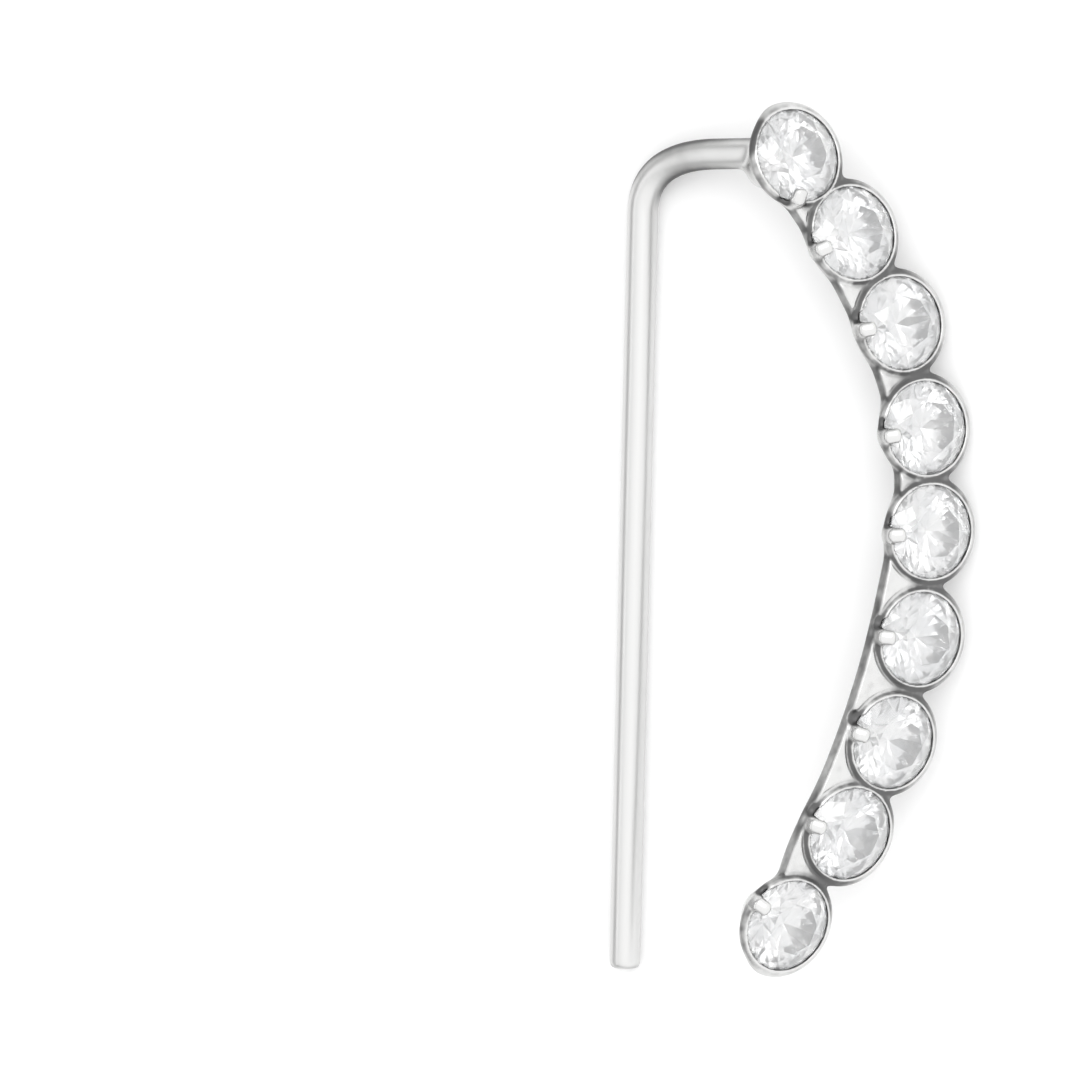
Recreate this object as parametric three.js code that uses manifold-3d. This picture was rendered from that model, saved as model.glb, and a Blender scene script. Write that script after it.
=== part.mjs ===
// Ear climber: nine round stones in cups soldered into a thin curved bar, with an
// ear wire that leaves the back of the top cup, turns down and runs behind the bar.
// Millimetres, +Z up. The climber lies on its wire and on the backs of the cups near the middle.
import * as THREE from 'three';
import { mergeVertices } from 'three/addons/utils/BufferGeometryUtils.js';
import { ConvexGeometry } from 'three/addons/geometries/ConvexGeometry.js';
import Module from 'manifold-3d';

const wasm = await Module();
wasm.setup();

// ---- driving dimensions -------------------------------------------------------
const ROW_RADIUS = 17;    // arc through the stones' centres, about a point inward of the row
const BOW = { radius: 44, height: -2.3 };   // the row bows back above and below this height
// One row per stone, from the top. angle: place along the arc, in degrees up from its middle.
// outset: how far the hand-set cup sits outside the arc. claw: degrees past the inward
// direction, toward the last stone. bar: reach of the bar inward of the arc, just past the stone.
const STATIONS = [
  { angle: 36.9, outset: -0.08, claw: 42, bar: 0.72 },
  { angle: 28.0, outset: 0.04, claw: -8, bar: 0.88 },
  { angle: 18.6, outset: 0.19, claw: -12, bar: 0.93 },
  { angle: 8.7, outset: 0.07, claw: 0, bar: 0.95 },
  { angle: -1.0, outset: -0.06, claw: 3, bar: 1.45 },
  { angle: -11.1, outset: -0.07, claw: 6, bar: 1.64 },
  { angle: -21.2, outset: -0.02, claw: 6, bar: 1.57 },
  { angle: -30.6, outset: -0.01, claw: 16, bar: 1.24 },
  { angle: -40.9, outset: 0.05, claw: 8, bar: 0.6 },
];
const LEAN = THREE.MathUtils.degToRad(46);        // how far the row's face leans as it lies

const STONE = {
  radius: 1.32, table: 0.74, star: 1.05, crownSlope: 34.5,
  girdle: 0.06, breakRadius: 0.34, pavilionSlope: 41, spin: 17,
};
// Radii and heights from the stone's girdle, for a cup that narrows to a flat foot at the back.
const CUP = {
  rim: 1.47, lip: 1.42, top: 0.13, belly: -0.12, foot: 0.62, chamfer: 0.1, back: -1.5, sides: 28,
};
const POCKET = { clear: 0.04, mouth: 1.28, bottom: -1.27, top: 0.6 };
const BAR = { outset: 0.58, top: 0.04, back: -0.42, edge: 0.08, stepsPerStone: 4 };
const CLAW = { width: 0.36, edge: 0.03 };
const NICK = { radius: 0.23, inward: 1.47, ahead: 0.43, depth: 0.06, sides: 12 };
const BEAD = { radius: 0.58, depth: -1.6, sides: 16 };
// inward and drop: how far the wire's bend lies inward of the top stone and below it.
const WIRE = {
  diameter: 0.88, sides: 16, steps: 20, straightSteps: 2, root: -1.2, inward: 1.75, drop: 0.3,
  bendBack: 2.4, bendDown: 1.6, tip: -13.0, splay: 0.85,
};

// ---- frame of the row: +X outward at the middle stone, +Y up the row, +Z out of the stones
const floorRight = new THREE.Vector3(Math.cos(LEAN), 0, Math.sin(LEAN));
const floorUp = new THREE.Vector3(-Math.sin(LEAN), 0, Math.cos(LEAN));

// The row's face lies on a cylinder, whose axis runs crosswise behind the row.
function nodAt(height) {
  return Math.asin((height - BOW.height) / BOW.radius);
}

function bowedPoint(x, y, z) {
  const nod = nodAt(y);
  const reach = BOW.radius + z;
  return new THREE.Vector3(x, BOW.height + reach * Math.sin(nod), reach * Math.cos(nod) - BOW.radius);
}

// Moves a shape made about a stone's centre, with +X pointing outward, to its station.
function stationMatrix({ angle, outset }) {
  const turn = THREE.MathUtils.degToRad(angle);
  const radius = ROW_RADIUS + outset;
  const height = radius * Math.sin(turn);
  const place = new THREE.Matrix4().makeRotationX(-nodAt(height));
  place.multiply(new THREE.Matrix4().makeRotationZ(turn));
  return place.setPosition(bowedPoint(radius * Math.cos(turn) - ROW_RADIUS, height, 0));
}

// ---- solids -------------------------------------------------------------------
function toSolid(geometry) {
  geometry.deleteAttribute('normal');
  geometry.deleteAttribute('uv');
  const merged = mergeVertices(geometry, 1e-5);
  const corners = merged.index.array;
  const triangles = [];
  for (let i = 0; i < corners.length; i += 3) {
    const [a, b, c] = [corners[i], corners[i + 1], corners[i + 2]];
    if (a !== b && b !== c && c !== a) {
      triangles.push(a, b, c);
    }
  }
  return new wasm.Manifold(new wasm.Mesh({
    numProp: 3,
    vertProperties: new Float32Array(merged.attributes.position.array),
    triVerts: new Uint32Array(triangles),
  }));
}

function toGeometry(solid) {
  const mesh = solid.getMesh();
  const geometry = new THREE.BufferGeometry();
  geometry.setAttribute('position', new THREE.BufferAttribute(mesh.vertProperties, 3));
  geometry.setIndex(new THREE.BufferAttribute(mesh.triVerts, 1));
  geometry.computeVertexNormals();
  return geometry;
}

// A round solid about +Z from a profile of [radius, height] pairs.
function turned(profile, sides) {
  const points = profile.map(([radius, height]) => new THREE.Vector2(radius, height));
  return new THREE.LatheGeometry(points, sides).rotateX(Math.PI / 2);
}

// ---- round brilliant stone ------------------------------------------------------
function stoneGeometry() {
  const crown = Math.tan(THREE.MathUtils.degToRad(STONE.crownSlope));
  const pavilion = Math.tan(THREE.MathUtils.degToRad(STONE.pavilionSlope));
  const eighth = Math.PI / 4;
  const half = STONE.girdle / 2;
  const points = [];
  const add = (radius, angle, z) => {
    points.push(new THREE.Vector3(radius * Math.cos(angle), radius * Math.sin(angle), z));
  };
  for (let k = 0; k < 8; k += 1) {
    const main = k * eighth;
    const between = main + eighth / 2;
    const share = Math.cos(eighth / 2);
    add(STONE.table, main, half + (STONE.radius - STONE.table) * crown);
    add(STONE.star, between, half + (STONE.radius - STONE.star * share) * crown);
    for (const angle of [main, between]) {
      add(STONE.radius, angle, half);
      add(STONE.radius, angle, -half);
    }
    add(STONE.breakRadius, between, -half - (STONE.radius - STONE.breakRadius * share) * pavilion);
  }
  add(0, 0, -half - STONE.radius * pavilion);
  return new ConvexGeometry(points);
}

// ---- silver -----------------------------------------------------------------------
const cupProfile = [
  [0, CUP.back],
  [CUP.foot - CUP.chamfer, CUP.back],
  [CUP.foot, CUP.back + CUP.chamfer],
  [CUP.rim, CUP.belly],
  [CUP.lip, CUP.top],
  [0, CUP.top],
];

function cupBody() {
  return turned(cupProfile, CUP.sides);
}

function pocketBody() {
  const wall = STONE.radius + POCKET.clear;
  const half = STONE.girdle / 2 + POCKET.clear;
  return turned([
    [0, POCKET.bottom],
    [wall, -half],
    [wall, half],
    [POCKET.mouth, half + (wall - POCKET.mouth)],
    [POCKET.mouth, POCKET.top],
    [0, POCKET.top],
  ], CUP.sides);
}

// The flat bar that joins the cups just below their rims, on the inside of the curve.
function barBody() {
  const last = STATIONS.length - 1;
  const stops = STATIONS.slice(0, last).map(({ angle, bar }, k) => (
    { angle: (angle + STATIONS[k + 1].angle) / 2, bar }
  ));
  stops.unshift({ angle: STATIONS[0].angle, bar: STATIONS[0].bar });
  stops.push({ angle: STATIONS[last].angle, bar: STATIONS[last].bar });
  const edgePoint = (radius, angle) => {
    const turn = THREE.MathUtils.degToRad(angle);
    return new THREE.Vector2(radius * Math.cos(turn), radius * Math.sin(turn));
  };
  const inner = stops.map(({ angle, bar }) => edgePoint(ROW_RADIUS - bar, angle));
  const outer = stops.map(({ angle }) => edgePoint(ROW_RADIUS + BAR.outset, angle)).reverse();
  const outline = new THREE.Shape();
  outline.moveTo(inner[0].x, inner[0].y);
  outline.splineThru(inner.slice(1));
  outline.lineTo(outer[0].x, outer[0].y);
  outline.splineThru(outer.slice(1));
  const bar = new THREE.ExtrudeGeometry(outline, {
    depth: BAR.top - BAR.back - 2 * BAR.edge,
    bevelSize: BAR.edge,
    bevelOffset: -BAR.edge,
    bevelThickness: BAR.edge,
    bevelSegments: 1,
    curveSegments: BAR.stepsPerStone,
  });
  bar.translate(-ROW_RADIUS, 0, BAR.back + BAR.edge);
  const corners = bar.attributes.position;
  for (let i = 0; i < corners.count; i += 1) {
    const { x, y, z } = bowedPoint(corners.getX(i), corners.getY(i), corners.getZ(i));
    corners.setXYZ(i, x, y, z);
  }
  return bar;
}

// One claw, rising from the rim at the inner side of a cup and bent over the stone.
function clawBody() {
  const side = new THREE.Shape([
    [-1.1, -0.35],
    [-1.38, -0.08],
    [-1.38, 0.1],
    [-0.98, 0.34],
    [-0.99, 0.46],
    [-1.28, 0.42],
    [-1.45, 0.24],
    [-1.46, -0.1],
    [-1.3, -0.35],
  ].map(([x, y]) => new THREE.Vector2(x, y)).reverse());
  const claw = new THREE.ExtrudeGeometry(side, {
    depth: CLAW.width - 2 * CLAW.edge,
    bevelSize: CLAW.edge,
    bevelOffset: -CLAW.edge,
    bevelThickness: CLAW.edge,
    bevelSegments: 1,
  });
  claw.translate(0, 0, CLAW.edge - CLAW.width / 2);
  return claw.rotateX(Math.PI / 2);
}

// The small cut beside each claw, from which its silver was raised.
function nickBody() {
  const ball = new THREE.SphereGeometry(NICK.radius, NICK.sides, Math.ceil(NICK.sides / 2) + 1);
  return ball.translate(-NICK.inward, NICK.ahead, NICK.depth);
}

// The bead of solder where the ear wire leaves the back of the top cup.
function beadBody() {
  const ball = new THREE.SphereGeometry(BEAD.radius, BEAD.sides, Math.ceil(BEAD.sides / 2) + 1);
  return ball.translate(0, 0, BEAD.depth);
}

// The ear wire's centre line: back from the top cup, round the bend and down to the tip.
// Each straight stretch takes a few of the steps, and the bend has the rest.
class WirePath extends THREE.Curve {
  constructor(start, corner, tip) {
    super();
    const back = start.clone().sub(corner).normalize();
    const down = tip.clone().sub(corner).normalize();
    const entry = corner.clone().addScaledVector(back, WIRE.bendBack);
    const exit = corner.clone().addScaledVector(down, WIRE.bendDown);
    this.bridge = new THREE.LineCurve3(start, entry);
    this.elbow = new THREE.QuadraticBezierCurve3(entry, corner, exit);
    this.shank = new THREE.LineCurve3(exit, tip);
  }

  getPoint(t, target) {
    const straight = WIRE.straightSteps / WIRE.steps;
    if (t < straight) {
      return this.bridge.getPoint(t / straight, target);
    }
    if (t < 1 - straight) {
      return this.elbow.getPoint((t - straight) / (1 - 2 * straight), target);
    }
    return this.shank.getPoint((t + straight - 1) / straight, target);
  }

  getUtoTmapping(u) {
    return u;
  }
}

// The height, along floorUp, of the surface under the lowest cup.
function floorHeight() {
  const corner = new THREE.Vector3();
  let lowest = Infinity;
  for (const station of STATIONS) {
    const corners = cupBody().applyMatrix4(stationMatrix(station)).attributes.position;
    for (let i = 0; i < corners.count; i += 1) {
      lowest = Math.min(lowest, corner.fromBufferAttribute(corners, i).dot(floorUp));
    }
  }
  return lowest;
}

function wireBody() {
  const top = new THREE.Vector3().setFromMatrixPosition(stationMatrix(STATIONS[0]));
  const height = floorHeight() + (WIRE.diameter / 2) * Math.cos(Math.PI / WIRE.sides);
  const start = new THREE.Vector3(top.x, top.y, top.z + WIRE.root);
  const corner = new THREE.Vector3(top.x - WIRE.inward, top.y - WIRE.drop, 0);
  corner.z = (height + corner.x * Math.sin(LEAN)) / Math.cos(LEAN);
  const run = corner.y - WIRE.tip;
  const splay = run * Math.tan(THREE.MathUtils.degToRad(WIRE.splay));
  const tip = corner.clone().addScaledVector(floorRight, -splay);
  tip.y = WIRE.tip;
  const path = new WirePath(start, corner, tip);
  const frames = path.computeFrenetFrames(WIRE.steps, false);
  const down = floorUp.clone().negate();
  const facing = Math.atan2(down.dot(frames.binormals.at(-1)), down.dot(frames.normals.at(-1)));
  const section = new THREE.Shape(Array.from({ length: WIRE.sides }, (_, k) => {
    const angle = facing + ((k + 0.5) * 2 * Math.PI) / WIRE.sides;
    return new THREE.Vector2(Math.cos(angle), Math.sin(angle)).multiplyScalar(WIRE.diameter / 2);
  }));
  return new THREE.ExtrudeGeometry(section, { steps: WIRE.steps, extrudePath: path });
}

function silverGeometry() {
  let silver = toSolid(barBody()).add(toSolid(wireBody()));
  silver = silver.add(toSolid(beadBody().applyMatrix4(stationMatrix(STATIONS[0]))));
  for (const station of STATIONS) {
    silver = silver.add(toSolid(cupBody().applyMatrix4(stationMatrix(station))));
  }
  for (const station of STATIONS) {
    const place = stationMatrix(station);
    const clawTurn = new THREE.Matrix4().makeRotationZ(THREE.MathUtils.degToRad(station.claw));
    const clawPlace = place.clone().multiply(clawTurn);
    silver = silver.subtract(toSolid(pocketBody().applyMatrix4(place)));
    silver = silver.subtract(toSolid(nickBody().applyMatrix4(clawPlace)));
    silver = silver.add(toSolid(clawBody().applyMatrix4(clawPlace)));
  }
  return toGeometry(silver);
}

// ---- the climber ------------------------------------------------------------------
const silverMaterial = new THREE.MeshStandardMaterial({ color: 0xdcdcdc, roughness: 0.16, metalness: 1 });
const stoneMaterial = new THREE.MeshStandardMaterial({ color: 0xf4f6f8, roughness: 0.03, metalness: 0 });

const lying = new THREE.Group();
lying.rotation.y = LEAN;

const silver = new THREE.Mesh(silverGeometry(), silverMaterial);
silver.name = 'silver_setting';
lying.add(silver);

STATIONS.forEach((station, index) => {
  const stone = new THREE.Mesh(stoneGeometry(), stoneMaterial.clone());
  stone.name = `stone_${index + 1}`;
  const spin = new THREE.Matrix4().makeRotationZ(THREE.MathUtils.degToRad(index * STONE.spin));
  stone.applyMatrix4(stationMatrix(station).multiply(spin));
  lying.add(stone);
});

// The origin is under the middle of the climber's box, on the surface it lies on.
const group = new THREE.Group();
group.add(lying);
group.updateMatrixWorld(true);
const box = new THREE.Box3().setFromObject(group, true);
const middle = box.getCenter(new THREE.Vector3());
lying.position.set(-middle.x, -middle.y, -box.min.z);

export default group;
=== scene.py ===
"""The ear climber: a soldered silver row of nine stone-set cups with its ear wire, on a pale floor."""
import math
from collections import namedtuple

import bpy
import numpy as np
import openvdb
from mathutils import Matrix, Vector


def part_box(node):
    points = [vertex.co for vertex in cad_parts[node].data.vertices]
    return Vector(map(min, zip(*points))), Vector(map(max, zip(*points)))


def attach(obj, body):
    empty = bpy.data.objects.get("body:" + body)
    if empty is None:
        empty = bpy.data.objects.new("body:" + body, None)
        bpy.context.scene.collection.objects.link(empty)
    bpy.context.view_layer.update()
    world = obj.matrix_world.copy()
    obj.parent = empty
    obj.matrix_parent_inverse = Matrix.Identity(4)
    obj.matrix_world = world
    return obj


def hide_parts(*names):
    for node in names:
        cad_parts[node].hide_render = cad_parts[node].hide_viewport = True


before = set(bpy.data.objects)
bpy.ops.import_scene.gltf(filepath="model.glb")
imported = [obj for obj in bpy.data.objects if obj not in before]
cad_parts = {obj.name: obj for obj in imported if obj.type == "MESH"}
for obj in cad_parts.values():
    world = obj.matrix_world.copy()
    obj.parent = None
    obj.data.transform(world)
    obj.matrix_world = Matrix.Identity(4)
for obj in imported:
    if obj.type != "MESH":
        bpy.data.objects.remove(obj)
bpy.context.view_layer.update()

MM = 0.001

# ---- driving dimensions, in mm ------------------------------------------------------------------
# The row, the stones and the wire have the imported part's own sizes. The cups, the bar, the claws
# and the cuts beside them follow the part's, and differ from it by their softer, finer finish.
ROW_RADIUS = 17.0
BOW_RADIUS = 44.0
BOW_HEIGHT = -2.3
LEAN = math.radians(46)

# One row per stone, from the top. angle: place along the arc, in degrees. outset: how far the cup
# sits outside the arc. claw: its turn past the inward direction, in degrees. bar: the bar's inward
# reach past the stone.
Station = namedtuple("Station", "angle outset claw bar")
STATIONS = [
    Station(36.9, -0.08, 42, 1.15),
    Station(28.0, 0.04, -8, 1.12),
    Station(18.6, 0.19, -12, 0.93),
    Station(8.7, 0.07, 0, 0.95),
    Station(-1.0, -0.06, 3, 1.45),
    Station(-11.1, -0.07, 6, 1.64),
    Station(-21.2, -0.02, 6, 1.57),
    Station(-30.6, -0.01, 16, 1.24),
    Station(-40.9, 0.05, 8, 0.6),
]
MIDDLE = len(STATIONS) // 2

STONE_RADIUS = 1.32
STONE_TABLE = 0.74
STONE_SPIN = math.radians(17)
CROWN_SLOPE = math.radians(34.5)
PAVILION_SLOPE = math.radians(41)
HALF_GIRDLE = 0.03
TABLE_HEIGHT = HALF_GIRDLE + (STONE_RADIUS - STONE_TABLE) * math.tan(CROWN_SLOPE)
CULET_HEIGHT = -HALF_GIRDLE - STONE_RADIUS * math.tan(PAVILION_SLOPE)
# Outlines as (radius, height from the girdle), from the middle of the back outward.
STONE_SIDES = [
    (0.0, CULET_HEIGHT), (STONE_RADIUS, -HALF_GIRDLE), (STONE_RADIUS, HALF_GIRDLE),
    (STONE_TABLE, TABLE_HEIGHT), (0.0, TABLE_HEIGHT),
]
CUP_SIDES = [
    (0.0, -1.5), (0.52, -1.5), (0.62, -1.4), (1.465, -0.12), (1.455, -0.02), (1.345, 0.13), (0.0, 0.13),
]
POCKET_SIDES = [(0.0, -1.27), (1.285, -0.12), (1.285, 0.6), (0.0, 0.6)]
# The lip's outer slope: a radius and height on it, and how steeply it falls (a sine).
LIP_RADIUS = 1.335
LIP_HEIGHT = 0.13
LIP_FALL = 0.67
# How many times wider a cup is on its outer side, where the swell begins along X, and the length
# over which it grows.
CUP_SWELL = 1.08
SWELL_START = -0.5
SWELL_LENGTH = 1.0
# The room between a stone and the silver.
SEAT_GAP = 0.012

BAR_OUTSET = 0.3
BAR_TOP = 0.04
BAR_BACK = -0.42
GROOVE_RADIUS = 1.475
GROOVE_WIDTH = 0.07
# A claw's centre line as (x, height), in a frame about the stone's centre whose -X points at the
# claw. The claw is a rod of this radius, made 1 / CLAW_SPREAD times as broad.
CLAW_LINE = [(-1.35, -0.15), (-1.35, 0.17), (-1.13, 0.31)]
CLAW_RADIUS = 0.13
CLAW_SPREAD = 0.62
# The small cut beside the claw, in the same frame.
NICK_RADIUS = 0.2
NICK_PLACE = (-1.46, 0.4, 0.08)

BEAD_RADIUS = 0.58
BEAD_DEPTH = -1.6
WIRE_RADIUS = 0.4315
WIRE_ROOT = -1.2
WIRE_INWARD = 1.75
WIRE_DROP = 0.3
WIRE_TIP = -13.0
WIRE_SPLAY = math.radians(0.85)
BEND_BACK = 2.4
BEND_DOWN = 1.6
BEND_STEPS = 48

# ---- how finely the silver is made, in mm -------------------------------------------------------
STEP = 0.04
# The distance that stands for far away, the room kept about each shape, and how near the surface
# the distances are meshed.
FAR = 0.8
ROOM = 0.75
BAND = 4 * STEP
# Keeps a point that is looked up inside the grid's last cell, in steps, and a direction from being
# divided by nothing.
INSIDE_CELL = 1.001
LEAST_LENGTH = 1e-9
# How often the thinned mesh is moved back onto the silver's true surface.
SETTLING_PASSES = 2
SILVER_FACES = 190000
# Fillets where two shapes are joined, and the softness of cuts and edges.
SOLDER = 0.3
BACK_SEAM = 0.22
FRONT_SEAM = 0.03
SEAM_TURN = -0.1
SEAM_LENGTH = 0.3
CUP_SEAM = 0.2
CLAW_SEAM = 0.12
NICK_SEAM = 0.14
TIP_SEAM = 0.22
GROOVE_SEAM = 0.03
POCKET_SEAM = 0.05
SEAT_SEAM = 0.01
SOFT_EDGE = 0.05
POCKET_EDGE = 0.02
STONE_EDGE = 0.01
# A middle and a radius, about a stone's centre, of a box that holds each shape.
CUP_BOX = ((0, 0, -0.7), 1.8)
GROOVE_BOX = ((0, 0, 0), GROOVE_RADIUS)
POCKET_BOX = ((0, 0, -0.4), 1.5)
STONE_BOX = ((0, 0, -0.3), 1.4)
CLAW_BOX = ((-1.25, 0, 0.1), 0.5)
NICK_BOX = (NICK_PLACE, NICK_RADIUS)
# How far the bar goes past the centres of two neighbouring stones, and the silver past all of them.
BAR_BELOW = (1.6, 0.3, 1.2)
BAR_ABOVE = (1.1, 0.3, 0.0)
SILVER_BELOW = (1.1, 1.9, 2.0)
SILVER_ABOVE = (1.9, 1.9, 1.0)


# ---- the row's own frame: +X outward at the middle stone, +Y up the row, +Z out of the stones ----
def nod_at(height):
    return math.asin((height - BOW_HEIGHT) / BOW_RADIUS)


def bowed_point(x, y, z):
    nod = nod_at(y)
    reach = BOW_RADIUS + z
    return np.array([x, BOW_HEIGHT + reach * math.sin(nod), reach * math.cos(nod) - BOW_RADIUS])


def station_place(station):
    """The 4 x 4 placing of a shape made about a stone's centre, with +X pointing outward."""
    turn = math.radians(station.angle)
    radius = ROW_RADIUS + station.outset
    height = radius * math.sin(turn)
    at = bowed_point(radius * math.cos(turn) - ROW_RADIUS, height, 0.0)
    nod = Matrix.Rotation(-nod_at(height), 4, "X")
    return np.array(Matrix.Translation(at) @ nod @ Matrix.Rotation(turn, 4, "Z"))


def claw_place(station):
    """The same placing, turned so that -X points at the claw."""
    return station_place(station) @ np.array(Matrix.Rotation(math.radians(station.claw), 4, "Z"))


PLACES = [station_place(station) for station in STATIONS]
CLAW_PLACES = [claw_place(station) for station in STATIONS]
FLOOR_RIGHT = np.array([math.cos(LEAN), 0.0, math.sin(LEAN)])
LEANING = np.array(Matrix.Rotation(LEAN, 3, "Y"))


def row_origin():
    """Where the row's frame has its origin on the floor, from the box of the middle stone."""
    points = [(0.0, 0.0, CULET_HEIGHT)]
    eighth = math.pi / 4
    for k in range(8):
        for angle in (k * eighth, (k + 0.5) * eighth):
            for side in (HALF_GIRDLE, -HALF_GIRDLE):
                points.append((STONE_RADIUS * math.cos(angle), STONE_RADIUS * math.sin(angle), side))
        turn = k * eighth
        points.append((STONE_TABLE * math.cos(turn), STONE_TABLE * math.sin(turn), TABLE_HEIGHT))
    spin = np.array(Matrix.Rotation(MIDDLE * STONE_SPIN, 3, "Z"))
    place = PLACES[MIDDLE]
    in_row = np.array(points) @ spin.T @ place[:3, :3].T + place[:3, 3]
    low = np.array(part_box("stone_5")[0]) / MM
    return low - (in_row @ LEANING.T).min(0)


ORIGIN = row_origin()


def to_world(points):
    """Row-frame millimetres to metres on the floor."""
    return (np.asarray(points) @ LEANING.T + ORIGIN) * MM


def wire_line():
    """The ear wire's centre line: back from the top cup, round the bend and down to the tip."""
    top = PLACES[0][:3, 3]
    height = WIRE_RADIUS - ORIGIN[2]
    start = np.array([top[0], top[1], top[2] + WIRE_ROOT])
    corner = np.array([top[0] - WIRE_INWARD, top[1] - WIRE_DROP, 0.0])
    corner[2] = (height + corner[0] * math.sin(LEAN)) / math.cos(LEAN)
    tip = corner - FLOOR_RIGHT * (corner[1] - WIRE_TIP) * math.tan(WIRE_SPLAY)
    tip[1] = WIRE_TIP
    back = (start - corner) / np.linalg.norm(start - corner)
    down = (tip - corner) / np.linalg.norm(tip - corner)
    entry, leave = corner + back * BEND_BACK, corner + down * BEND_DOWN
    steps = np.linspace(0, 1, BEND_STEPS + 1)[:, None]
    bend = entry * (1 - steps) ** 2 + corner * 2 * steps * (1 - steps) + leave * steps ** 2
    return [start, *bend, tip]


WIRE = wire_line()


# ---- distances to plain shapes, negative inside -------------------------------------------------
def melt_min(a, b, reach):
    """The union of two shapes, with a fillet of about this reach where they meet."""
    h = np.maximum(reach - np.abs(a - b), 0.0) / reach
    return np.minimum(a, b) - h * h * (reach / 4)


def melt_max(a, b, reach):
    """What two shapes share, with its edges softened by about this reach."""
    return -melt_min(-a, -b, reach)


def turned(sides, points, edge):
    """A solid turned about Z from a convex outline, with softened edges."""
    radius = np.hypot(points[0], points[1])
    distance = None
    for (r0, z0), (r1, z1) in zip(sides, sides[1:]):
        length = math.hypot(r1 - r0, z1 - z0)
        face = ((radius - r0) * (z1 - z0) - (points[2] - z0) * (r1 - r0)) / length
        distance = face if distance is None else melt_max(distance, face, edge)
    return distance


def rod(points, start, end, radius):
    """A round-ended rod."""
    run = end - start
    offset = [points[k] - start[k] for k in range(3)]
    along = sum(offset[k] * run[k] for k in range(3)) / float(run @ run)
    along = np.clip(along, 0, 1)
    return np.sqrt(sum((offset[k] - along * run[k]) ** 2 for k in range(3))) - radius


def ball(points, centre, radius):
    return np.sqrt(sum((points[k] - centre[k]) ** 2 for k in range(3))) - radius


# ---- the silver as a field of distances ---------------------------------------------------------
class SilverField:
    """Distances to the silver, on a grid in the row's frame."""

    def __init__(self, low, high):
        self.low = np.array(low, float)
        counts = np.ceil((np.array(high) - self.low) / STEP).astype(int) + 1
        self.values = np.full(counts, FAR, np.float32)

    def window(self, low, high):
        """The part of the grid about a box, and the places of its points."""
        first = np.maximum(np.floor((low - ROOM - self.low) / STEP).astype(int), 0)
        last = np.minimum(np.ceil((high + ROOM - self.low) / STEP).astype(int) + 1, self.values.shape)
        part = tuple(slice(a, b) for a, b in zip(first, last))
        axes = [(self.low[k] + STEP * np.arange(first[k], last[k])).astype(np.float32) for k in range(3)]
        return part, np.meshgrid(*axes, indexing="ij", sparse=True)

    def add(self, distance, low, high, reach=0.0):
        part, points = self.window(np.asarray(low), np.asarray(high))
        shape = distance(points).astype(np.float32)
        old = self.values[part]
        self.values[part] = melt_min(old, shape, reach) if reach else np.minimum(old, shape)

    def cut(self, distance, low, high, reach):
        part, points = self.window(np.asarray(low), np.asarray(high))
        self.values[part] = melt_max(self.values[part], -distance(points).astype(np.float32), reach)

    def soften(self):
        """Rounds every edge by about one step, as polishing does."""
        for axis in range(3):
            inner = np.moveaxis(self.values, axis, 0)
            middle = inner[1:-1].copy()
            inner[1:-1] = middle * 0.5 + (inner[:-2] + inner[2:]) * 0.25

    def sample(self, points):
        """The distance at any points, between the grid's values."""
        spot = (points - self.low) / STEP
        spot = np.clip(spot, 0, np.array(self.values.shape) - INSIDE_CELL)
        cell = spot.astype(int)
        share = spot - cell
        total = np.zeros(len(points))
        for corner in range(8):
            step = np.array([corner & 1, corner >> 1 & 1, corner >> 2 & 1])
            weight = np.prod(np.where(step, share, 1 - share), axis=1)
            i, j, k = (cell + step).T
            total += weight * self.values[i, j, k]
        return total

    def slope(self, points):
        """The outward direction at points near the surface."""
        grown = np.empty((len(points), 3))
        for axis in range(3):
            step = np.zeros(3)
            step[axis] = STEP
            grown[:, axis] = self.sample(points + step) - self.sample(points - step)
        return grown / np.maximum(np.linalg.norm(grown, axis=1, keepdims=True), LEAST_LENGTH)


def local_points(place, points):
    """Row-frame points as seen from a placing."""
    turn, at = place[:3, :3], place[:3, 3]
    offset = [points[k] - at[k] for k in range(3)]
    return [sum(turn[k, axis] * offset[k] for k in range(3)) for axis in range(3)]


def placed_box(place, box):
    centre, radius = box
    middle = place[:3, :3] @ np.array(centre) + place[:3, 3]
    return middle - radius, middle + radius


def placed(shape, place):
    """A shape made about a stone's centre, as distances in the row's frame."""
    return lambda points: shape(local_points(place, points))


def cup_shape(points):
    """One cup: round, a little fuller on its outer side, with a lip that slopes away."""
    x, y, z = points
    share = np.clip((x - SWELL_START) / SWELL_LENGTH, 0, 1)
    swell = 1 + (CUP_SWELL - 1) * share * share * (3 - 2 * share)
    cup = turned(CUP_SIDES, (x / swell, y / swell, z), SOFT_EDGE)
    rise = math.sqrt(1 - LIP_FALL ** 2)
    slope = (np.hypot(x, y) - LIP_RADIUS) * LIP_FALL + (z - LIP_HEIGHT) * rise
    return melt_max(cup, slope, SOFT_EDGE)


def pocket_shape(points):
    """The hollow that the stone goes into."""
    return turned(POCKET_SIDES, points, POCKET_EDGE)


def stone_shape(points):
    """The stone, a hair's breadth larger than it is."""
    return turned(STONE_SIDES, points, STONE_EDGE) - SEAT_GAP


def groove_shape(points):
    """The fine line round a cup, where the bar meets its rim."""
    x, y, z = points
    return np.hypot(np.hypot(x, y) - GROOVE_RADIUS, z - BAR_TOP) - GROOVE_WIDTH


def claw_shape(points):
    """One claw: a short broad rod up the cup's side, bent over the stone's edge."""
    spots = [np.array([x, 0.0, z]) for x, z in CLAW_LINE]
    squeezed = [points[0], points[1] * CLAW_SPREAD, points[2]]
    return np.minimum(*[rod(squeezed, a, b, CLAW_RADIUS) for a, b in zip(spots, spots[1:])])


def nick_shape(points):
    """The small cut beside a claw."""
    return ball(points, NICK_PLACE, NICK_RADIUS)


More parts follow.
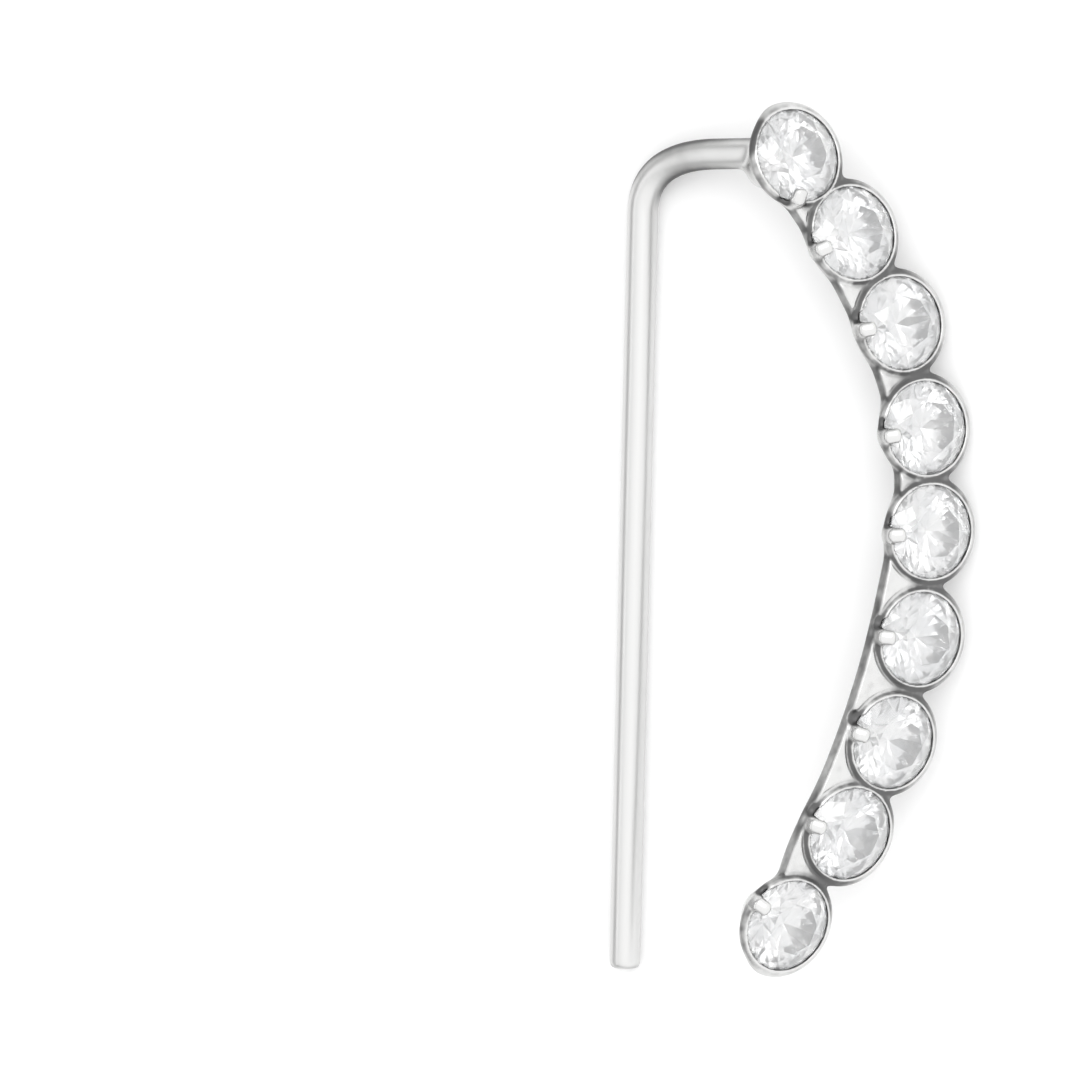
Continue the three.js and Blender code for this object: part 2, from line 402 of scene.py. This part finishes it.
def bar_stops():
    """Angles along the arc and the bar's inner radius at each, from the last stone to the first."""
    first, last = STATIONS[0], STATIONS[-1]
    middles = [(a.angle + b.angle) / 2 for a, b in zip(STATIONS, STATIONS[1:])]
    angles = [first.angle, *middles, last.angle]
    reaches = [first.bar, *[station.bar for station in STATIONS[:-1]], last.bar]
    return np.radians(angles[::-1]), ROW_RADIUS - np.array(reaches[::-1])


def smooth_through(at, stops, values):
    """A smooth line through the values at the stops."""
    spot = np.clip(at, stops[0], stops[-1])
    k = np.clip(np.searchsorted(stops, spot) - 1, 0, len(stops) - 2)
    slopes = np.gradient(values, stops)
    width = stops[k + 1] - stops[k]
    t = (spot - stops[k]) / width
    return (
        (2 * t ** 3 - 3 * t ** 2 + 1) * values[k]
        + (t ** 3 - 2 * t ** 2 + t) * width * slopes[k]
        + (3 * t ** 2 - 2 * t ** 3) * values[k + 1]
        + (t ** 3 - t ** 2) * width * slopes[k + 1]
    )


def bar_plan(points):
    """The way to the bar's outline on the bowed sheet that it lies in, and the height above it."""
    reach = np.hypot(points[1] - BOW_HEIGHT, points[2] + BOW_RADIUS)
    x = points[0] + ROW_RADIUS
    y = BOW_HEIGHT + BOW_RADIUS * (points[1] - BOW_HEIGHT) / reach
    stops, inner = bar_stops()
    radius = np.hypot(x, y)
    angle = np.arctan2(y, x)
    edge = smooth_through(angle, stops, inner)
    distance = melt_max(edge - radius, radius - ROW_RADIUS - BAR_OUTSET, SOFT_EDGE)
    distance = melt_max(distance, (stops[0] - angle) * ROW_RADIUS, SOFT_EDGE)
    distance = melt_max(distance, (angle - stops[-1]) * ROW_RADIUS, SOFT_EDGE)
    return distance, reach - BOW_RADIUS


def bar_shape(points):
    """The thin bar that joins the cups, on the inside of the curve."""
    distance, z = bar_plan(points)
    thick = np.abs(z - (BAR_TOP + BAR_BACK) / 2) - (BAR_TOP - BAR_BACK) / 2
    return melt_max(distance, thick, 2 * SOFT_EDGE)


def wire_shape(start, end):
    return lambda points: rod(points, start, end, WIRE_RADIUS)


def add_bar(field):
    for first, second in zip(PLACES, PLACES[1:]):
        a, b = first[:3, 3], second[:3, 3]
        field.add(bar_shape, np.minimum(a, b) - BAR_BELOW, np.maximum(a, b) + BAR_ABOVE)
    for place in PLACES:
        field.cut(placed(groove_shape, place), *placed_box(place, GROOVE_BOX), GROOVE_SEAM)


def add_wire(field):
    """The wire with its cut end, and the bead where it leaves the top cup."""
    for start, end in zip(WIRE, WIRE[1:]):
        low, high = np.minimum(start, end) - WIRE_RADIUS, np.maximum(start, end) + WIRE_RADIUS
        field.add(wire_shape(start, end), low, high)
    tip = WIRE[-1]
    down = (tip - WIRE[-2]) / np.linalg.norm(tip - WIRE[-2])
    beyond = WIRE_RADIUS * 2

    def past_tip(points):
        return -sum((points[k] - tip[k]) * down[k] for k in range(3))

    field.cut(past_tip, tip - beyond, tip + beyond, TIP_SEAM)
    low, high = placed_box(PLACES[0], ((0, 0, BEAD_DEPTH), BEAD_RADIUS))
    field.add(lambda points: ball(points, (low + high) / 2, BEAD_RADIUS), low, high, SOLDER)


def bar_seam(field):
    """How far the solder runs between bar and cups: hardly in front, and further toward the back."""
    counts = field.values.shape
    y = field.low[1] + STEP * np.arange(counts[1])[:, None]
    z = field.low[2] + STEP * np.arange(counts[2])[None, :]
    depth = np.hypot(y - BOW_HEIGHT, z + BOW_RADIUS) - BOW_RADIUS
    share = np.clip((SEAM_TURN - depth) / SEAM_LENGTH, 0, 1)
    return (FRONT_SEAM + (BACK_SEAM - FRONT_SEAM) * share)[None].astype(np.float32)


def silver_field():
    spots = np.array([place[:3, 3] for place in PLACES] + WIRE)
    low, high = spots.min(0) - SILVER_BELOW, spots.max(0) + SILVER_ABOVE
    silver, bar, wire = [SilverField(low, high) for _ in range(3)]
    for place in PLACES:
        silver.add(placed(cup_shape, place), *placed_box(place, CUP_BOX), CUP_SEAM)
    add_bar(bar)
    silver.values = melt_min(silver.values, bar.values, bar_seam(silver))
    add_wire(wire)
    silver.values = melt_min(silver.values, wire.values, SOLDER)
    for place in PLACES:
        silver.cut(placed(pocket_shape, place), *placed_box(place, POCKET_BOX), POCKET_SEAM)
    for place in CLAW_PLACES:
        silver.cut(placed(nick_shape, place), *placed_box(place, NICK_BOX), NICK_SEAM)
        silver.add(placed(claw_shape, place), *placed_box(place, CLAW_BOX), CLAW_SEAM)
    silver.soften()
    for place in PLACES:
        silver.cut(placed(stone_shape, place), *placed_box(place, STONE_BOX), SEAT_SEAM)
    return silver


# ---- meshes -------------------------------------------------------------------------------------
def plain_mesh(name, points, faces):
    """A mesh whose faces all have the same number of sides."""
    sides = len(faces[0])
    mesh = bpy.data.meshes.new(name)
    mesh.vertices.add(len(points))
    mesh.vertices.foreach_set("co", np.asarray(points, np.float32).ravel())
    mesh.loops.add(len(faces) * sides)
    mesh.loops.foreach_set("vertex_index", np.asarray(faces, np.int32).ravel())
    mesh.polygons.add(len(faces))
    mesh.polygons.foreach_set("loop_start", np.arange(0, len(faces) * sides, sides, dtype=np.int32))
    mesh.update(calc_edges=True)
    mesh.validate()
    return mesh


def mesh_points(mesh):
    points = np.empty(len(mesh.vertices) * 3, np.float32)
    mesh.vertices.foreach_get("co", points)
    return points.reshape(-1, 3).astype(float)


def mesh_attribute(mesh, name, values):
    attribute = mesh.attributes.new(name, "FLOAT", "POINT")
    attribute.data.foreach_set("value", np.asarray(values, np.float32))


def add_piece(name, mesh):
    piece = bpy.data.objects.new(name, mesh)
    bpy.context.scene.collection.objects.link(piece)
    return piece


def field_mesh(name, field):
    """The silver's surface, as a mesh in the row's frame."""
    grid = openvdb.FloatGrid(BAND)
    grid.copyFromArray(np.clip(field.values, -BAND, BAND))
    points, quads = grid.convertToQuads(0.0)
    points = points * STEP + field.low
    corners = points[quads[:, :3]]
    facing = np.cross(corners[:, 1] - corners[:, 0], corners[:, 2] - corners[:, 0])
    if (facing * field.slope(corners[:, 0])).sum() < 0:
        quads = quads[:, ::-1]
    return plain_mesh(name, points, quads)


def thinned(piece, faces):
    """The piece's mesh with fewer triangles, where the surface is flattest."""
    count = sum(len(p.vertices) - 2 for p in piece.data.polygons)
    if count <= faces:
        return piece.data
    modifier = piece.modifiers.new("thin", "DECIMATE")
    modifier.ratio = faces / count
    bpy.context.view_layer.update()
    done = piece.evaluated_get(bpy.context.evaluated_depsgraph_get())
    mesh = bpy.data.meshes.new_from_object(done)
    piece.modifiers.remove(modifier)
    return mesh


# ---- painted shade and painted light on the silver, and where it is more mottled ----------------
# Each mark goes from 0 at its first measure to 1 at its second. They are distances in mm, unless
# their names say facing, which is a slope: the cosine of an angle.
MARKS = {
    "on_bar": (0.05, 0.0),
    "behind_bar": (0.05, -0.05),
    "nick": (0.06, 0.0),
    "claw": (0.05, 0.0),
    "rim": (0.098, 0.028),
    "inner_lip": (0.052, 0.012),
    "facing_row_end": (-0.6, 0.4),
    "facing_away": (0.3, 0.7),
    "below_rim": (-0.5, -0.15),
    "near_cup": (1.76, 0.96),
    "between_cups": (1.485, 0.385),
    "outer_side": (-1.1, 0.0),
    "on_wire": (0.05, 0.0),
    "off_cups": (0.18, 0.48),
    "facing_side": (0.85, 0.0),
    "facing_down": (0.85, 0.35),
    "joint_start": (1.2, 1.3),
    "joint_end": (1.95, 1.55),
    "joint_width": (0.64, 0.24),
    "joint_depth": (-1.1, -0.6),
    "bridge": (0.0, 1.0),
    "bend": (1.95, 0.45),
}
# How far from the surface a hollow is felt.
HOLLOW_DEPTHS = (0.08, 0.16, 0.32)
# The middle radii of a cup's rim and of its lip's inner side, and how deep the marks on them go.
RIM_MIDDLE = 1.41
LIP_MIDDLE = 1.33
RIM_DEPTH = -0.3
CUP_DEPTH = -1.6
BEHIND_ROW = 0.8
# A way that is longer than any other, one that still counts as touching a stone, and the least
# radius that something is divided by.
NOT_NEAR = 9.0
AT_STONE = 0.03
LEAST_RADIUS = 0.1
# The height, from the row's middle, past which the cups' far sides take their full painted shadow.
ROW_END = 4.0
# The point of the wire's line about which the bend's painted shade is darkest.
BEND_DARKEST = 14

# How much painted shade or painted light each place puts into the silver's colour. The two shares are of
# the full effect: a steep side has one of them on a cup, and a cup's outer edge has the other low down.
HOLLOW_DARK = 1.2
HOLLOW_ON_BAR = 1.0
SIDE_DARK = 0.3
BAR_DARK = 0.2
BAR_SIDE_DARK = 0.25
CUP_SIDE_SHARE = 0.5
LOW_EDGE_SHARE = 0.15
BETWEEN_CUPS_DARK = 0.75
UNDER_WIRE_DARK = 0.2
UNDER_BRIDGE_DARK = 0.6
JOINT_SHADOW_DARK = 0.8
BEND_DARK = 0.42
FAR_RIM_SHADOW_DARK = 0.42
RIM_DARK = 0.1
# Painted highlights: how far the claws and the lip's inner side are cleared of painted shade.
CLAW_LIGHT = 0.75
LIP_LIGHT = 0.7
MOST_DARK = 2.0
# How strongly the darker parts are mottled.
MOTTLE = 0.2
RIM_MOTTLE = 0.8
BAR_MOTTLE = 0.5


def marked(mark, measure):
    start, end = MARKS[mark]
    return np.clip((measure - start) / (end - start), 0, 1)


def hollow_share(field, points, outward):
    """How far other silver, or a stone, closes in above each point: the measure of the painted shade in
    hollows.
    """
    for place in PLACES:
        field.add(placed(stone_shape, place), *placed_box(place, STONE_BOX))
    open_share = [np.clip(field.sample(points + outward * far) / far, 0, 1) for far in HOLLOW_DEPTHS]
    return 1 - sum(open_share) / len(HOLLOW_DEPTHS)


def cup_marks(points, outward):
    """What lies at each point of the cups, and the ways to the nearest cup and the next."""
    marks = {}
    ways = []
    for place, by_claw in zip(PLACES, CLAW_PLACES):
        x, y, z = local_points(place, points.T)
        seen_from_claw = local_points(by_claw, points.T)
        radius = np.hypot(x, y)
        some_radius = np.maximum(radius, LEAST_RADIUS)
        away = (place[:3, :2] @ np.array([x, y]) / some_radius).T
        toward_end = np.clip(place[1, 3] / ROW_END, -1, 1) * y / some_radius
        rim = marked("rim", np.abs(radius - RIM_MIDDLE)) * (z > RIM_DEPTH)
        high = LOW_EDGE_SHARE + (1 - LOW_EDGE_SHARE) * marked("below_rim", z)
        steep = marked("facing_away", (outward * away).sum(1)) * (z > CUP_DEPTH)
        # The rim, the far rim and the steep outer edge carry painted shade, the nick a painted shadow,
        # and the claw and the lip's inner side painted light.
        here = {
            "pocket": (radius < STONE_RADIUS) & (z < HALF_GIRDLE),
            "nick": marked("nick", nick_shape(seen_from_claw)),
            "claw": marked("claw", claw_shape(seen_from_claw)),
            "rim": rim,
            "far_rim": rim * marked("facing_row_end", toward_end),
            "inner_lip": marked("inner_lip", np.abs(radius - LIP_MIDDLE)) * (z > 0),
            "outer_edge": steep * marked("near_cup", radius) * high,
        }
        for name, share in here.items():
            marks[name] = np.maximum(marks.get(name, 0.0), share)
        ways.append(np.where(np.abs(z) < BEHIND_ROW, np.maximum(radius - STONE_RADIUS, 0.0), NOT_NEAR))
    nearest, next_nearest = np.sort(np.array(ways), axis=0)[:2]
    return marks, nearest, next_nearest


def joint_share(points):
    """The top cup's rim where it stands over the start of the wire, where a painted shadow goes."""
    top = PLACES[0]
    x, y, z = local_points(top, points.T)
    leaving = ((WIRE[1] - WIRE[0]) @ top[:3, :3])[:2]
    leaving /= np.linalg.norm(leaving)
    along = x * leaving[0] + y * leaving[1]
    across = y * leaving[0] - x * leaving[1]
    share = marked("joint_start", along) * marked("joint_end", along)
    return share * marked("joint_width", np.abs(across)) * marked("joint_depth", z)


def wire_share(points, to_cup):
    way = np.full(len(points), NOT_NEAR)
    for start, end in zip(WIRE, WIRE[1:]):
        way = np.minimum(way, rod(points.T, start, end, WIRE_RADIUS))
    return marked("on_wire", way) * marked("off_cups", to_cup)


def silver_marks(field, points, outward):
    """The silver's attributes: how much painted shade it has, lifted by painted light, how mottled it
    is, and where it is wire.
    """
    hollow = hollow_share(field, points, outward)
    cup, nearest, next_nearest = cup_marks(points, outward)
    on_bar = marked("on_bar", np.abs(bar_shape(points.T)))
    on_wire = wire_share(points, nearest)

    # Painted shade on the steep sides of cups and bar, and on the bar as a whole.
    side = marked("facing_side", outward[:, 2]) * (1 - on_wire) * np.maximum(on_bar, CUP_SIDE_SHARE)
    # Painted shade in the hollows, none inside a stone's pocket, and painted shadow in the small cut
    # beside each claw.
    shaded = hollow * (1 - cup["pocket"]) * (HOLLOW_DARK - HOLLOW_ON_BAR * on_bar) + cup["nick"]
    shaded += side * (SIDE_DARK + on_bar * BAR_SIDE_DARK) + on_bar * BAR_DARK

    # Painted shadow in the notches between neighbouring cups on the outer side, and painted shade on the
    # cups' steep outer edges.
    from_arc = np.hypot(points[:, 0] + ROW_RADIUS, points[:, 1]) - ROW_RADIUS
    between_cups = marked("between_cups", nearest + next_nearest) * (nearest > AT_STONE)
    between_cups *= marked("outer_side", from_arc)
    shaded += (between_cups * BETWEEN_CUPS_DARK + cup["outer_edge"]) * (1 - on_wire)
    # Painted shadow on each rim's side toward the row's end, behind the bar, and painted shade on all
    # rims.
    far_rim_shadow = cup["far_rim"] * marked("behind_bar", bar_plan(points.T)[0])
    shaded += far_rim_shadow * FAR_RIM_SHADOW_DARK + cup["rim"] * RIM_DARK

    # Painted shade on the wire's underside, deeper along the bridge.
    under = marked("facing_down", outward @ LEANING[2]) * on_wire
    on_bridge = marked("bridge", points[:, 1] - WIRE[-2][1])
    # Painted shade about the wire's bend.
    at_bend = marked("bend", np.linalg.norm(points - WIRE[BEND_DARKEST], axis=1)) * on_wire
    shaded += under * (UNDER_WIRE_DARK + on_bridge * UNDER_BRIDGE_DARK)
    # Painted shadow where the top cup's rim stands over the wire, and the bend's painted shade.
    shaded += joint_share(points) * JOINT_SHADOW_DARK + at_bend * BEND_DARK

    # Painted light: the claws and the lip's inner side are cleared of most painted shade.
    shaded *= 1 - np.maximum(cup["claw"] * CLAW_LIGHT, cup["inner_lip"] * LIP_LIGHT)
    return {
        "shaded": np.clip(shaded, 0, MOST_DARK),
        "mottle": MOTTLE + cup["rim"] * RIM_MOTTLE + on_bar * BAR_MOTTLE,
        "on_wire": on_wire,
    }


def climber_setting():
    """The cups, bar, claws, bead and ear wire, fused into one piece of silver."""
    field = silver_field()
    piece = add_piece("climber_setting", field_mesh("climber_setting", field))
    piece.data = thinned(piece, SILVER_FACES)
    mesh = piece.data
    points = mesh_points(mesh)
    for _ in range(SETTLING_PASSES):
        points = points - field.slope(points) * np.clip(field.sample(points), -STEP, STEP)[:, None]
    outward = field.slope(points)
    for name, values in silver_marks(field, points, outward).items():
        mesh_attribute(mesh, name, values)
    mesh.vertices.foreach_set("co", to_world(points).astype(np.float32).ravel())
    mesh.polygons.foreach_set("use_smooth", np.ones(len(mesh.polygons), bool))
    mesh.update()
    mesh.normals_split_custom_set_from_vertices(outward @ LEANING.T)
    return piece


# ---- materials ----------------------------------------------------------------------------------
class Amount:
    """A number inside a material; sums with it add the nodes that work them out."""

    def __init__(self, finish, socket):
        self.finish = finish
        self.socket = socket

    def sum_of(self, operation, *values):
        return self.finish.node("ShaderNodeMath", {"operation": operation}, dict(enumerate(values)))

    def __add__(self, other):
        return self.sum_of("ADD", self, other)

    def __radd__(self, other):
        return self.sum_of("ADD", other, self)

    def __sub__(self, other):
        return self.sum_of("SUBTRACT", self, other)

    def __rsub__(self, other):
        return self.sum_of("SUBTRACT", other, self)

    def __mul__(self, other):
        return self.sum_of("MULTIPLY", self, other)

    def between(self, low, high, start=0.0, end=1.0):
        """This value stretched so that low becomes start and high becomes end, and held there."""
        values = {"Value": self, "From Min": low, "From Max": high, "To Min": start, "To Max": end}
        return self.finish.node("ShaderNodeMapRange", {"interpolation_type": "SMOOTHSTEP"}, values)


class Finish:
    """The nodes of a material for one of the climber's surfaces, or of the studio's sky."""

    def __init__(self, owner):
        owner.use_nodes = True
        self.owner = owner
        self.tree = owner.node_tree
        self.tree.nodes.clear()

    def node(self, kind, settings=None, values=None, output=0):
        """Any node: its settings first, then its sockets' values or links."""
        made = self.tree.nodes.new(kind)
        settings = dict(settings or {})
        self.set_stops(made, settings.pop("stops", []))
        for key, value in settings.items():
            setattr(made, key, value)
        for key, value in (values or {}).items():
            self.put(made.inputs[key], value)
        return Amount(self, made.outputs[output]) if made.outputs else None

    def set_stops(self, ramp, stops):
        """A ramp's stops, as (spot from 0 to 1, colour), from the lowest to the highest."""
        if stops:
            elements = ramp.color_ramp.elements
            elements[0].position, elements[1].position = stops[0][0], stops[-1][0]
            for spot, _ in stops[1:-1]:
                elements.new(spot)
            for element, (_, colour) in zip(elements, stops):
                element.color = colour

    def put(self, socket, value):
        if isinstance(value, Amount):
            self.tree.links.new(value.socket, socket)
        else:
            socket.default_value = value

    def place(self, kind="Object"):
        return self.node("ShaderNodeTexCoord", output=kind)

    def stretched(self, place, scale, turn=(0, 0, 0)):
        return self.node("ShaderNodeMapping", {}, {"Vector": place, "Rotation": turn, "Scale": scale})

    def noise(self, place, scale, detail=2.0, roughness=0.5, distortion=0.0):
        values = {
            "Vector": place, "Scale": scale, "Detail": detail, "Roughness": roughness,
            "Distortion": distortion,
        }
        return self.node("ShaderNodeTexNoise", {}, values)

    def attribute(self, name):
        return self.node("ShaderNodeAttribute", {"attribute_name": name}, output="Fac")

    def mixed(self, factor, first, second):
        """Two colours, mixed; the colour sockets of a mix are its seventh, eighth and third."""
        return self.node("ShaderNodeMix", {"data_type": "RGBA"}, {0: factor, 6: first, 7: second}, 2)

    def bump(self, height, strength, normal=None):
        values = {"Height": height, "Strength": strength, "Distance": BUMP_DEPTH}
        if normal:
            values["Normal"] = normal
        return self.node("ShaderNodeBump", {}, values)

    def surface(self, values):
        shader = self.node("ShaderNodeBsdfPrincipled", {}, values)
        self.node("ShaderNodeOutputMaterial", {}, {"Surface": shader})
        return self.owner


def grey(level):
    return (level, level, level, 1)


BRIGHT_SILVER = (0.66, 0.66, 0.655, 1)
# The silver's dark end stands for painted shade, and for the random tarnish of the clouds.
SHADE_AND_TARNISH_SILVER = grey(0.13)
CLOUDY_STONE = (0.8, 0.81, 0.82, 1)
CLEAR_STONE = grey(0.96)
# Noise scales are per metre, and the bumps' depth is in metres.
CLOUD_SCALE = 600.0
BLOTCH_SCALE = 2600.0
PIT_SCALE = 7000.0
STONE_SCALE = 1500.0
FLOOR_SCALE = 40.0
DRAWN_SCALE = (9000.0, 260.0, 9000.0)
BRUSHED_SCALE = (2600.0, 1400.0, 5200.0)
BRUSHED_TURN = (0.3, 0.5, 0.2)
BUMP_DEPTH = 0.00002
NOISE_MIDDLE = 0.5
# How much of the painted shade is dropped before it darkens the silver, and how far the clouds move the
# darkening at random.
SHADE_THRESHOLD = 0.15
CLOUD_TARNISH = 0.3
# The silver's least roughness, and what the clouds, the painted shade with its tarnish and the wire's
# drawing add to it.
SILVER_ROUGHNESS = 0.2
CLOUD_ROUGHNESS = 0.1
SHADE_AND_TARNISH_ROUGHNESS = 0.2
WIRE_ROUGHNESS = 0.11
PIT_STRENGTH = 0.06
DENT_STRENGTH = 0.14
# Where in the noise the stones go from cloudy to clear, and from smooth to rough.
CLOUDY_SPAN = (0.35, 0.65)
ROUGH_SPAN = (0.3, 0.7)
STONE_ROUGHNESS = (0.02, 0.1)


def polished_silver():
    """Silver that is bright, with painted shade in its hollows, on its steep sides and under the wire,
    painted light on its claws, random mottling, and drawn lines along the wire.
    """
    finish = Finish(bpy.data.materials.new("polished_silver"))
    place = finish.place()
    shaded = finish.attribute("shaded")
    on_wire = finish.attribute("on_wire")
    cloud = finish.noise(place, CLOUD_SCALE, detail=3.0)
    blotch = finish.noise(place, BLOTCH_SCALE)
    pits = finish.noise(place, PIT_SCALE)
    drawn = finish.noise(finish.stretched(place, DRAWN_SCALE), 1.0, detail=3.0)
    brushed_place = finish.stretched(place, BRUSHED_SCALE, BRUSHED_TURN)
    brushed = finish.noise(brushed_place, 1.0, detail=4.0)
    clouded = (cloud - NOISE_MIDDLE) * CLOUD_TARNISH
    mottled = clouded + (blotch - NOISE_MIDDLE) * finish.attribute("mottle")
    # Painted shade: the shaded attribute mixes the silver toward its dark end, mottled at random by the
    # clouds and blotches.
    shade_and_tarnish = (shaded - SHADE_THRESHOLD + mottled).between(0.0, 1.0)
    shade = finish.mixed(shade_and_tarnish, BRIGHT_SILVER, SHADE_AND_TARNISH_SILVER)
    rough = SILVER_ROUGHNESS + cloud * CLOUD_ROUGHNESS + shade_and_tarnish * SHADE_AND_TARNISH_ROUGHNESS
    rough += on_wire * WIRE_ROUGHNESS
    dents = drawn * on_wire + (1 - on_wire) * brushed
    normal = finish.bump(pits, PIT_STRENGTH, finish.bump(dents, DENT_STRENGTH))
    return finish.surface({"Base Color": shade, "Metallic": 1.0, "Roughness": rough, "Normal": normal})


def cut_stone():
    """A clear stone, a little cloudy."""
    finish = Finish(bpy.data.materials.new("cut_stone"))
    cloud = finish.noise(finish.place(), STONE_SCALE, detail=3.0, roughness=0.6, distortion=0.4)
    shade = finish.mixed(cloud.between(*CLOUDY_SPAN), CLOUDY_STONE, CLEAR_STONE)
    rough = cloud.between(*ROUGH_SPAN, *STONE_ROUGHNESS)
    return finish.surface({
        "Base Color": shade, "Roughness": rough, "IOR": 2.15, "Transmission Weight": 0.78,
    })


def pale_floor():
    finish = Finish(bpy.data.materials.new("pale_floor"))
    cloud = finish.noise(finish.place(), FLOOR_SCALE, detail=3.0)
    shade = finish.mixed(cloud, grey(0.94), grey(0.96))
    return finish.surface({"Base Color": shade, "Roughness": 0.7, "Specular IOR Level": 0.2})


# ---- the climber --------------------------------------------------------------------------------
setting = climber_setting()
setting.data.materials.clear()
setting.data.materials.append(polished_silver())
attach(setting, "root")
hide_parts("silver_setting")

stone_finish = cut_stone()
for number in range(1, len(STATIONS) + 1):
    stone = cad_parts[f"stone_{number}"]
    stone.data.materials.clear()
    stone.data.materials.append(stone_finish)

# ---- floor, sky and lights ----------------------------------------------------------------------
FLOOR_REACH = 3.0
# The sky's brightness by how far a direction points along the axis, from -1 to 1.
SKY_AXIS = (0.62, 0.0, 0.78)
SKY_STOPS = [(-0.4, 0.35), (-0.05, 0.4), (0.25, 0.85), (0.5, 1.0), (1.0, 1.0)]
SKY_STRENGTH = 1.35


def studio_sky():
    """A bright ceiling and outer side, darker low down on the inner side."""
    sky = Finish(bpy.data.worlds.new("studio"))
    directions = {0: sky.place("Generated"), 1: SKY_AXIS}
    along = sky.node("ShaderNodeVectorMath", {"operation": "DOT_PRODUCT"}, directions, "Value")
    stops = [((spot + 1) / 2, grey(level)) for spot, level in SKY_STOPS]
    brightness = sky.node("ShaderNodeValToRGB", {"stops": stops}, {0: along * 0.5 + 0.5})
    background = sky.node("ShaderNodeBackground", {}, {"Color": brightness, "Strength": SKY_STRENGTH})
    sky.node("ShaderNodeOutputWorld", {}, {"Surface": background})
    return sky.owner


def soft_light(name, place, size, power):
    """A rectangular light that faces the climber."""
    data = bpy.data.lights.new(name, "AREA")
    data.shape = "RECTANGLE"
    data.size, data.size_y = size
    data.energy = power
    light = bpy.data.objects.new(name, data)
    bpy.context.scene.collection.objects.link(light)
    light.location = place
    light.rotation_mode = "QUATERNION"
    light.rotation_quaternion = Vector(place).to_track_quat("Z", "Y")


floor_corners = np.array([(-1, -1, 0), (1, -1, 0), (1, 1, 0), (-1, 1, 0)]) * FLOOR_REACH
floor = add_piece("floor", plain_mesh("floor", floor_corners, [(0, 1, 2, 3)]))
floor.data.materials.append(pale_floor())
bpy.context.scene.world = studio_sky()
# A light's place and size are in metres, and its power is in watts.
soft_light("key_panel", (0.1, 0.16, 0.3), (0.2, 0.2), 0.2)
soft_light("inner_panel", (-0.25, 0.01, 0.17), (0.5, 0.07), 0.14)

# ---- camera -------------------------------------------------------------------------------------
# The angles are from square to the row's face. The aim is in mm from the middle of the row, and the
# field's width, the focal length and the sensor's width are in mm. CLIP_SHARE says how many times
# nearer and farther than the climber things may be.
VIEW_YAW = math.radians(31.7)
VIEW_PITCH = math.radians(5.8)
VIEW_ROLL = math.radians(0.5)
AIM_RIGHT = -10.913
AIM_UP = -0.528
FIELD = 30.0
FOCAL = 600.0
SENSOR = 36.0
CLIP_SHARE = 50


def view_axes():
    """The camera's directions: right, up, and back toward it."""
    level = np.array([-math.sin(VIEW_YAW), 0.0, math.cos(VIEW_YAW)])
    toward = LEANING @ (level * math.cos(VIEW_PITCH) + np.array([0.0, math.sin(VIEW_PITCH), 0.0]))
    right = LEANING @ np.array([math.cos(VIEW_YAW), 0.0, math.sin(VIEW_YAW)])
    up = np.cross(toward, right)
    rolled_right = right * math.cos(VIEW_ROLL) + up * math.sin(VIEW_ROLL)
    rolled_up = up * math.cos(VIEW_ROLL) - right * math.sin(VIEW_ROLL)
    return rolled_right, rolled_up, toward


def view_camera():
    right, up, toward = view_axes()
    distance = FIELD * MM * FOCAL / SENSOR
    data = bpy.data.cameras.new("camera")
    data.lens = FOCAL
    data.sensor_width = SENSOR
    data.clip_start = distance / CLIP_SHARE
    data.clip_end = distance * CLIP_SHARE
    camera = bpy.data.objects.new("camera", data)
    bpy.context.scene.collection.objects.link(camera)
    spot = (ORIGIN + right * AIM_RIGHT + up * AIM_UP) * MM + toward * distance
    turn = Matrix([right.tolist(), up.tolist(), toward.tolist()]).transposed()
    camera.matrix_world = Matrix.Translation(spot) @ turn.to_4x4()
    return camera


bpy.context.scene.camera = view_camera()
bpy.context.scene.view_settings.view_transform = "Standard"
